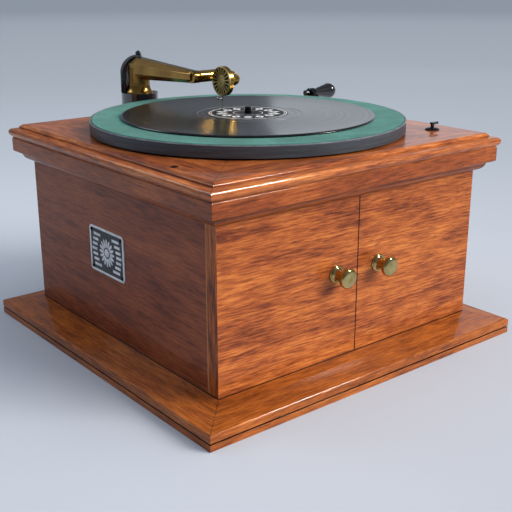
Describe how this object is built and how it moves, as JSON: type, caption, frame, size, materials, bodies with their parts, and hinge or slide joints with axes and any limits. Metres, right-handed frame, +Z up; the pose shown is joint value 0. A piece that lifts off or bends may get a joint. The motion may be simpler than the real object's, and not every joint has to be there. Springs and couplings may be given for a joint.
{
  "type": "table gramophone",
  "caption": "Wooden table gramophone with front doors over an inside horn, felted turntable with a record, brass tone arm and soundbox, and a side crank.",
  "frame": {"origin": "middle of the underside of the base board", "axes": "+X to the right seen from the front, +Y to the back, +Z up"},
  "size_m": [0.4257, 0.4131, 0.2695],
  "materials": {
    "mahogany": "polished",
    "plain_wood": "oiled",
    "brass": "polished",
    "black_enamel": "gloss",
    "blackened_steel": "satin",
    "plate": "satin",
    "felt": "matte",
    "shellac": "gloss",
    "label_paper": "satin",
    "iron": "painted",
    "steel": "satin",
    "tin": "matte",
    "fibre": "matte",
    "rubber": "matte",
    "mica": "clear",
    "ebonite": "gloss"
  },
  "bodies": {
    "cabinet": {"base_board": "mahogany", "floor_board": "mahogany", "plinth_moulding": "mahogany", "left_side_panel": "mahogany", "right_side_panel": "mahogany", "back_panel": "plain_wood", "front_frame": "mahogany", "front_head_rail": "mahogany", "cornice_moulding": "mahogany", "top_frame": "mahogany", "deck_screws": "blackened_steel", "motor_board": "plain_wood", "motor_pads": "rubber", "motor_bolts": "steel", "door_hinge_pins": "steel", "name_plate": "plate", "name_plate_pins": "blackened_steel", "horn": "tin", "motor_bedplate": "iron", "motor_lower_plate": "iron", "motor_pillars": "steel", "crank_bush": "brass", "rear_bracket": "black_enamel", "bracket_screws": "blackened_steel", "pivot_strap": "black_enamel", "pivot_screw": "black_enamel", "speed_plate": "blackened_steel"},
    "left_leaf": {"left_door": "mahogany", "left_door_knob": "brass"},
    "right_leaf": {"right_door": "mahogany", "right_door_knob": "brass"},
    "turntable": {"platter": "black_enamel", "felt_mat": "felt", "record": "shellac", "record_label": "label_paper", "spindle": "blackened_steel", "worm_wheel": "fibre"},
    "intermediate": {"intermediate_arbor": "steel", "intermediate_wheel": "brass"},
    "barrel": {"spring_barrel": "steel", "barrel_cover": "steel", "mainspring": "steel"},
    "arbor": {"barrel_arbor": "steel", "winding_wheel": "brass"},
    "governor": {"governor_shaft": "steel", "friction_disc": "brass", "governor_weights": "brass"},
    "crank": {"crank_shaft": "blackened_steel", "crank_arm": "blackened_steel"},
    "grip": {"crank_grip": "ebonite"},
    "arm": {"tone_arm": "brass"},
    "soundbox": {"gooseneck": "brass", "soundbox_case": "brass", "soundbox_grille": "brass", "diaphragm": "mica", "stylus_bar": "blackened_steel", "needle": "steel"},
    "needle_clamp": {"needle_screw": "blackened_steel"},
    "speed": {"speed_lever": "blackened_steel"},
    "brake": {"brake_lever": "steel"}
  },
  "joints": [
    {"name": "left_door_swing", "type": "hinge", "parent": "cabinet", "child": "left_leaf", "pos_m": [-0.1539, -0.1539, 0.0964], "axis": [0, 0, -1], "range_deg": [0, 95]},
    {"name": "right_door_swing", "type": "hinge", "parent": "cabinet", "child": "right_leaf", "pos_m": [0.1539, -0.1539, 0.0964], "axis": [0, 0, 1], "range_deg": [0, 95]},
    {"name": "turntable_spin", "type": "hinge", "parent": "cabinet", "child": "turntable", "pos_m": [0, 0, 0.215], "axis": [0, 0, 1], "continuous": true},
    {"name": "intermediate_spin", "type": "hinge", "parent": "cabinet", "child": "intermediate", "pos_m": [0.0084, 0.03655, 0.15], "axis": [0, 0, 1], "continuous": true},
    {"name": "barrel_spin", "type": "hinge", "parent": "cabinet", "child": "barrel", "pos_m": [0.062, 0.0325, 0.175], "axis": [0, 0, 1], "continuous": true},
    {"name": "governor_spin", "type": "hinge", "parent": "cabinet", "child": "governor", "pos_m": [0.03, -0.019, 0.136], "axis": [1, 0, 0], "continuous": true},
    {"name": "crank_turn", "type": "hinge", "parent": "cabinet", "child": "crank", "pos_m": [0.17, 0.0325, 0.15], "axis": [1, 0, 0], "continuous": true},
    {"name": "arbor_spin", "type": "hinge", "parent": "cabinet", "child": "arbor", "pos_m": [0.062, 0.0325, 0.16], "axis": [0, 0, 1], "continuous": true},
    {"name": "grip_spin", "type": "hinge", "parent": "crank", "child": "grip", "pos_m": [0.218, 0.12239, 0.21341], "axis": [1, 0, 0], "continuous": true},
    {"name": "tone_arm_swing", "type": "hinge", "parent": "cabinet", "child": "arm", "pos_m": [0, 0.201, 0.25], "axis": [0, 0, 1], "range_deg": [-8, 50]},
    {"name": "soundbox_lift", "type": "hinge", "parent": "arm", "child": "soundbox", "pos_m": [0, 0.09, 0.25], "axis": [-1, 0, 0], "range_deg": [0, 150]},
    {"name": "needle_screw_turn", "type": "hinge", "parent": "soundbox", "child": "needle_clamp", "pos_m": [0.015, 0.06647, 0.22904], "axis": [1, 0, 0], "continuous": true},
    {"name": "speed_lever_turn", "type": "hinge", "parent": "cabinet", "child": "speed", "pos_m": [0.137, -0.12, 0.2], "axis": [0, 0, 1], "range_deg": [-50, 50]},
    {"name": "brake_lever_turn", "type": "hinge", "parent": "cabinet", "child": "brake", "pos_m": [0.08, -0.048, 0.143], "axis": [0, 0, 1], "range_deg": [-1.1, 1.1]}
  ],
  "couplings": [
    {"joint": "intermediate_spin", "follows": "turntable_spin", "ratio": -0.25},
    {"joint": "barrel_spin", "follows": "turntable_spin", "ratio": 0.048611},
    {"joint": "governor_spin", "follows": "turntable_spin", "ratio": -12},
    {"joint": "arbor_spin", "follows": "crank_turn", "ratio": -0.4},
    {"joint": "brake_lever_turn", "follows": "speed_lever_turn", "ratio": -0.02}
  ]
}
